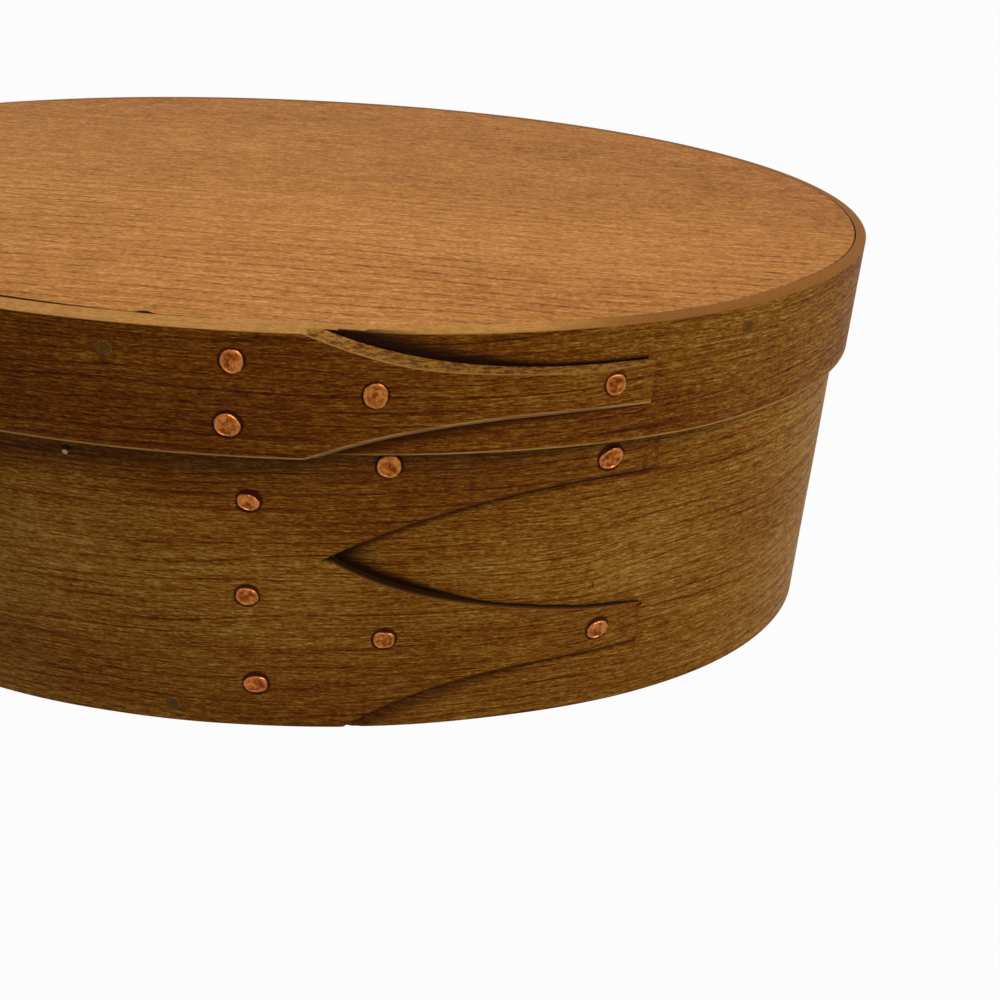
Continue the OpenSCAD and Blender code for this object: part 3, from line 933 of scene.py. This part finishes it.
def make_world(strength, seen):
    """A plain world of soft light, which is seen as a pale grey of its own."""
    world = bpy.data.worlds.new("studio")
    world.use_nodes = True
    tree = world.node_tree
    light = tree.nodes["Background"]
    light.inputs["Color"].default_value = (1.0, 0.97, 0.93, 1)
    light.inputs["Strength"].default_value = strength
    shown = tree.nodes.new("ShaderNodeBackground")
    shown.inputs["Color"].default_value = (seen, seen, seen, 1)
    both = tree.nodes.new("ShaderNodeMixShader")
    tree.links.new(seen_directly(tree), both.inputs[0])
    tree.links.new(light.outputs[0], both.inputs[1])
    tree.links.new(shown.outputs[0], both.inputs[2])
    tree.links.new(both.outputs[0], tree.nodes["World Output"].inputs["Surface"])
    bpy.context.scene.world = world


def make_floor(share):
    """A pale floor. share is how much of what is seen of it is its own plain white."""
    sh = Shader("pale_floor", {"Roughness": 0.9, "Specular IOR Level": 0.0})
    cloud = sh.noise(sh.scaled(sh.position(), 0.01, 0.01, 0.01), 2)
    sh.feed("Base Color", sh.colours(cloud, FLOOR_STOPS))
    shown = sh.add("ShaderNodeEmission", {"Color": (1, 1, 1, 1), "Strength": 1.0})
    part = sh.times(seen_directly(sh.tree), share)
    both = sh.add("ShaderNodeMixShader", {0: part})
    sh.tree.links.new(sh.bsdf.outputs[0], both.inputs[1])
    sh.tree.links.new(shown.outputs[0], both.inputs[2])
    sh.tree.links.new(both.outputs[0], sh.tree.nodes["Material Output"].inputs["Surface"])
    verts = [(x * FLOOR_HALF, y * FLOOR_HALF, FLOOR_Z) for x, y in ((-1, -1), (1, -1), (1, 1), (-1, 1))]
    make_object("floor", verts, [(0, 1, 2, 3)], sh.mat)


# The object -----------------------------------------------------------------

# A dark spot just under the lid, a pale spot beside it that is a painted highlight of a nick, and a
# scratch between the fingers: place along the front and height, layer, radii across, through and up the
# face, and colour
FRONT_SPOTS = [(-24.4, 44.9, 2, (0.9, 1.0, 0.5), srgb(30, 10, 5)),
               (-24.7, 44.1, 2, (0.5, 1.0, 0.42), srgb(244, 208, 170)),
               (49.9, 22.3, 1, (0.2, 1.5, 0.95), srgb(48, 22, 6))]
# Each head: its radius, its height against its width, its turn, and how square it is
BOX_TACKS = {
    "root_tack_1": (1.85, 0.80, 0.1, 0.03), "root_tack_2": (1.66, 0.88, -0.1, 0.01),
    "root_tack_3": (1.66, 0.76, -0.35, 0.02), "root_tack_4": (1.85, 0.95, 0.0, 0.0),
    "waist_tack_lower": (1.64, 0.88, -0.05, 0.05), "waist_tack_upper": (1.70, 1.06, 0.0, 0.01),
    "tip_tack_lower": (1.80, 0.80, 0.4, 0.01), "tip_tack_upper": (1.95, 0.80, 0.42, 0.02),
}
LID_TACKS = {
    "lid_root_tack_lower": (1.80, 0.92, -0.35, 0.0), "lid_root_tack_upper": (1.56, 1.10, 0.0, 0.01),
    "lid_waist_tack": (1.64, 1.12, 0.0, 0.01), "lid_tip_tack": (1.52, 1.05, 0.1, 0.02),
}
PEGS = 6
BOX_TACK_SEED, LID_TACK_SEED, LID_PEG_SEED = 11, 31, 10
# What shifts each band's grain and unevenness, and each board's unevenness
BOX_SEED, LID_SEED, LID_BOARD_SEED, BOTTOM_SEED = 0.0, 40.0, 1.7, 4.1
# Points up the face of each ring
BOX_ROWS, LID_ROWS = 36, 28
# Where along the joint round the lid's board a nick is, and the angle that it spans to either side
NICK, NICK_SPAN = math.radians(-97.3), 0.02


def spot_on_box(x, z, layer, radii, colour):
    """A spot on the front of the box's band, on the layer that shows there."""
    a = front_angle(x)
    point, normal = oval(a)
    r = float(BOX.lap_outer(x)) if layer == 2 else float(BOX.inner(a) + BAND_T)
    return (*(point + normal * r), z), radii, colour


def box_marks(x, z):
    """What the fingers do to the layer below them, at x and the heights z: how far each point is above
    the lower finger, in widths of the open joint, how far below either finger, in widths of their
    shade, and how far the face stands out."""
    crease, under = np.full(len(z), FAR), np.full(len(z), FAR)
    # Below the lower finger the foot of this layer stands out, and eases off past the tip
    line = float(sweep(min(x, TIP_X), FINGER_X, 0.0, TIP_X, LOW_FINGER[0], FINGER_POWER))
    line = max(line, 0.7 * float(ramp(x, FINGER_X - 2.2, FINGER_X)))
    soft = 5.0 * float(ramp(x, TIP_X, TIP_X + 8))
    bulge = ramp(z, line + 0.1 + soft, line - 0.7 - soft) * float(ramp(x, 10, 14) * ramp(x, EASE_X, TIP_X))
    bulge = bulge * mix(1.25, 0.75, float(ramp(x, 17, 40)))
    low, high = gap_lines(x)
    if GAP_X < x < TIP_X:
        # Between the fingers it rises to meet the lower one, with painted shade and dirt in the open joint,
        # which narrows rightward
        near = ramp(z, low - 2.0, low - 0.9) * (1 - np.clip((z - low) / (high - low), 0, 1))
        rise = max(0.0, float(BOX.lap_outer(x) - BOX.lap_inner(x)) - 0.6)
        bulge = np.maximum(bulge, near * rise * float(ramp(x, 22, 36)))
        joint = 0.2 + 2.0 * float(ramp(x, 36, 14))
        value = np.minimum((z - low) / joint, (x - GAP_X) / 6.0)
        value = value + 2 * float(ramp(x, TIP_X - 5, TIP_X - 1))
        crease = np.where((z > low - 2) & (z < high + 2), value, FAR)
        shade = 0.5 + 1.0 * float(ramp(x, 46, 14))
        under = np.where((z > low) & (z < high + 1), (high - z) / shade, FAR)
    if FINGER_X < x < TIP_X:
        shade = 0.6 + 4.0 * float(ramp(x, 46, 18))
        under = np.where(z < line + 1, (line - z) / shade, under)
    return crease, under, bulge


def lid_marks(x, z):
    """The same on the lid: painted shade and dirt in the corner above its finger, and painted shade below
    it.
    """
    crease, under = np.full(len(z), FAR), np.full(len(z), FAR)
    if LID_FINGER_X < x < LID_TIP_X:
        line = float(sweep(x, LID_FINGER_X, TOP, LID_TIP_X, LID_FINGER[1], FINGER_POWER))
        joint = 0.5 + 2.7 * float(ramp(x, 42, 14))
        crease = np.where((z > line - 2) & (z < TOP - 0.2), (z - line) / joint, FAR)
        line = float(sweep(x, LID_FINGER_X, LID_LOW, LID_TIP_X, LID_FINGER[0], FINGER_POWER))
        shade = 0.5 + 2.2 * float(ramp(x, 48, 14))
        under = np.where(z < line + 1, (line - z) / shade, FAR)
    return crease, under, 0.0


def seats_of(tacks):
    return [Seat(node, head[0]) for node, head in tacks.items()]


def lid_slack(a):
    """Width of the joint round the lid's board, open at the front's left and at the right end."""
    deg = np.degrees(a)
    left = 0.5 * ramp(deg, -91, -115) * ramp(deg, -178, -150)
    right = 0.16 * ramp(deg, -52, -30) * ramp(deg, 10, -8)
    nick = 0.6 * np.exp(-((a - NICK) / 0.011) ** 2)
    return 0.03 + left + right + nick + 0.015 * np.sin(7 * a + 1) + 0.012 * np.sin(13 * a)


def bottom_slack(a):
    """Width of the joint round the bottom board."""
    return 0.05 + 0.02 * np.sin(5 * a + 2)


make_camera()
make_world(WORLD, WORLD_SEEN)
make_floor(FLOOR_SEEN)
for name, lamp in LAMPS.items():
    area_light(name, *lamp)

BOX_WOOD = band_wood("box_band_wood", 0.15, (0.15, 1.2), shaded_below_lid=True,
                     spots=[spot_on_box(*spot) for spot in FRONT_SPOTS],
                     rims=(srgb(118, 74, 32), srgb(150, 100, 50)),
                     # Dark bevels: painted shade and dirt on the box's cut edges
                     bevels=(srgb(20, 7, 3), srgb(34, 12, 5)),
                     foot_share=0.5, foot_colour=srgb(70, 28, 10))
LID_WOOD = band_wood("lid_band_wood", -0.03, (0.15, 1.6),
                     rims=(srgb(138, 88, 36), srgb(192, 138, 72)),
                     # Pale bevels: partly a painted highlight on the lid's cut edges
                     bevels=(srgb(80, 44, 10), srgb(156, 108, 42)),
                     foot_share=0.95, foot_colour=srgb(172, 128, 72))
BOARD, COPPER, PEG = board_wood(), copper(), peg_wood()

# Where the bevels of the gap's root start, so that each has its own ring
ROOTS = GAP_X - LEAD * (1 - EDGE_T) ** BEVEL_POWER
box_strip = band("box_strip", BOX, box_loops, BOX_ROWS, ROOTS, seats_of(BOX_TACKS), BOX_WOOD,
                 BOX_SEED, box_marks)
settle(box_strip, "box_band", "box")
lid_strip = band("lid_strip", LID, lid_loops, LID_ROWS, [], seats_of(LID_TACKS), LID_WOOD,
                 LID_SEED, lid_marks)
settle(lid_strip, "lid_band", "lid")
oval_top = board("lid_top", LID, lid_board_low[2], lid_board_high[2], lid_slack, BOARD, LID_BOARD_SEED,
                 NICK + np.linspace(-NICK_SPAN, NICK_SPAN, 13))
settle(oval_top, "lid_board", "lid")
oval_bottom = board("box_bottom", BOX, 0.0, bottom_high[2], bottom_slack, BOARD, BOTTOM_SEED)
settle(oval_bottom, "bottom_board", "box")

for seed, (node, head) in enumerate(BOX_TACKS.items(), BOX_TACK_SEED):
    rise = COVERED_RISE if node == "root_tack_4" else HEAD_RISE
    tack("copper_" + node, BOX, node, "box", head, rise, COPPER, seed)
for seed, (node, head) in enumerate(LID_TACKS.items(), LID_TACK_SEED):
    tack("copper_" + node, LID, node, "lid", head, HEAD_RISE, COPPER, seed)
for i in range(1, PEGS + 1):
    peg("wooden_bottom_peg_%d" % i, BOX, "bottom_peg_%d" % i, "box", PEG, i)
    peg("wooden_lid_peg_%d" % i, LID, "lid_peg_%d" % i, "lid", PEG, LID_PEG_SEED + i)

view = bpy.context.scene.view_settings
view.view_transform = "Standard"
